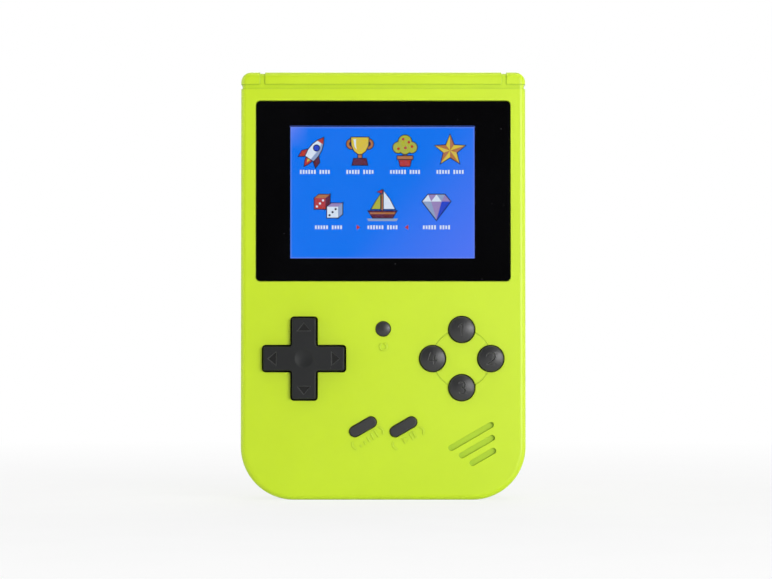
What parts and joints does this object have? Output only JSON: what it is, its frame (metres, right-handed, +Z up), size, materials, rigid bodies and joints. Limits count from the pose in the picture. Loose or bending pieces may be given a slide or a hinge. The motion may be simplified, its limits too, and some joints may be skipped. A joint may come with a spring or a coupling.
{
  "type": "handheld game console",
  "caption": "Upright pocket game console with a wide lit screen, cross pad, round keys in a diamond, slanted pill keys and round lower corners.",
  "frame": {"origin": "middle of the whole console's bounding box seen from above, at the height of its base edge", "axes": "+Z up along the console's long side, front with the screen and keys towards -Y, +X to the right seen from the front"},
  "size_m": [0.0768, 0.0208, 0.1154],
  "materials": {
    "case_lime": "fine satin moulding",
    "key_grey": "satin",
    "lens_black": "gloss with a clear window",
    "tape_black": "matt",
    "foam_black": "open foam",
    "display_lit": "lit picture",
    "light_guide": "milky",
    "steel": "pressed sheet",
    "ribbon_amber": "film",
    "rubber_grey": "silicone",
    "carbon_black": "dull",
    "board_green": "solder mask",
    "resin_black": "cured resin",
    "chip_black": "moulded",
    "can_aluminium": "drawn can",
    "chip_part_tan": "ceramic",
    "jack_black": "moulded",
    "magnet_steel": "plated",
    "cone_film": "film",
    "wire_red": "insulation",
    "battery_wrap": "printed wrap",
    "gilt": "gold flash"
  },
  "bodies": {
    "case": {"front_shell": "case_lime", "rear_shell": "case_lime", "case_screws": "steel", "board_screws": "steel", "screen_lens": "lens_black", "lens_tape": "tape_black", "lcd_gasket": "foam_black", "lcd_glass": "display_lit", "lcd_backlight": "light_guide", "lcd_frame": "steel", "lcd_pads": "foam_black", "lcd_ribbon": "ribbon_amber", "d_pad_rubber": "rubber_grey", "action_rubber": "rubber_grey", "reset_rubber": "rubber_grey", "menu_rubber": "rubber_grey", "main_board": "board_green", "game_chip": "resin_black", "memory_chip": "chip_black", "small_chips": "chip_black", "crystal": "can_aluminium", "capacitors": "can_aluminium", "smd_parts": "chip_part_tan", "charge_port": "steel", "av_jack": "jack_black", "power_switch_body": "steel", "speaker_frame": "jack_black", "speaker_magnet": "magnet_steel", "speaker_cone": "cone_film", "speaker_gasket": "foam_black", "speaker_wires": "wire_red", "battery": "battery_wrap", "battery_terminals": "gilt", "contact_block": "jack_black", "battery_contacts": "gilt", "battery_wires": "wire_red"},
    "key_top": {"button_top": "key_grey", "button_top_pill": "carbon_black"},
    "key_right": {"button_right": "key_grey", "button_right_pill": "carbon_black"},
    "key_bottom": {"button_bottom": "key_grey", "button_bottom_pill": "carbon_black"},
    "key_left": {"button_left": "key_grey", "button_left_pill": "carbon_black"},
    "key_reset": {"reset_button": "key_grey", "reset_pill": "carbon_black"},
    "key_sound": {"sound_button": "key_grey", "sound_pill": "carbon_black"},
    "key_start": {"start_button": "key_grey", "start_pill": "carbon_black"},
    "knob": {"power_knob": "key_grey", "power_switch_lever": "jack_black"},
    "cover": {"battery_cover": "case_lime"},
    "pad_ball": {"d_pad_pivot": "steel"},
    "pad": {"d_pad": "key_grey", "d_pad_pills": "carbon_black"}
  },
  "joints": [
    {"name": "key_top_press", "type": "slide", "parent": "case", "child": "key_top", "axis": [0, 1, 0], "range_m": [0, 0.0012], "stiffness_N_per_m": 900},
    {"name": "key_right_press", "type": "slide", "parent": "case", "child": "key_right", "axis": [0, 1, 0], "range_m": [0, 0.0012], "stiffness_N_per_m": 900},
    {"name": "key_bottom_press", "type": "slide", "parent": "case", "child": "key_bottom", "axis": [0, 1, 0], "range_m": [0, 0.0012], "stiffness_N_per_m": 900},
    {"name": "key_left_press", "type": "slide", "parent": "case", "child": "key_left", "axis": [0, 1, 0], "range_m": [0, 0.0012], "stiffness_N_per_m": 900},
    {"name": "key_reset_press", "type": "slide", "parent": "case", "child": "key_reset", "axis": [0, 1, 0], "range_m": [0, 0.0007], "stiffness_N_per_m": 900},
    {"name": "key_sound_press", "type": "slide", "parent": "case", "child": "key_sound", "axis": [0, 1, 0], "range_m": [0, 0.0007], "stiffness_N_per_m": 900},
    {"name": "key_start_press", "type": "slide", "parent": "case", "child": "key_start", "axis": [0, 1, 0], "range_m": [0, 0.0007], "stiffness_N_per_m": 900},
    {"name": "pad_up_down", "type": "hinge", "parent": "case", "child": "pad_ball", "pos_m": [-0.0213, -0.00455, 0.038], "axis": [1, 0, 0], "range_deg": [-4, 4], "stiffness_Nm_per_rad": 0.2},
    {"name": "pad_left_right", "type": "hinge", "parent": "pad_ball", "child": "pad", "pos_m": [-0.0213, -0.00455, 0.038], "axis": [0, 0, 1], "range_deg": [-4, 4], "stiffness_Nm_per_rad": 0.2},
    {"name": "power_slide", "type": "slide", "parent": "case", "child": "knob", "axis": [0, 0, -1], "range_m": [0, 0.002]},
    {"name": "battery_cover_open", "type": "hinge", "parent": "case", "child": "cover", "pos_m": [0, 0.01045, 0.027], "axis": [-1, 0, 0], "range_deg": [0, 50]}
  ]
}
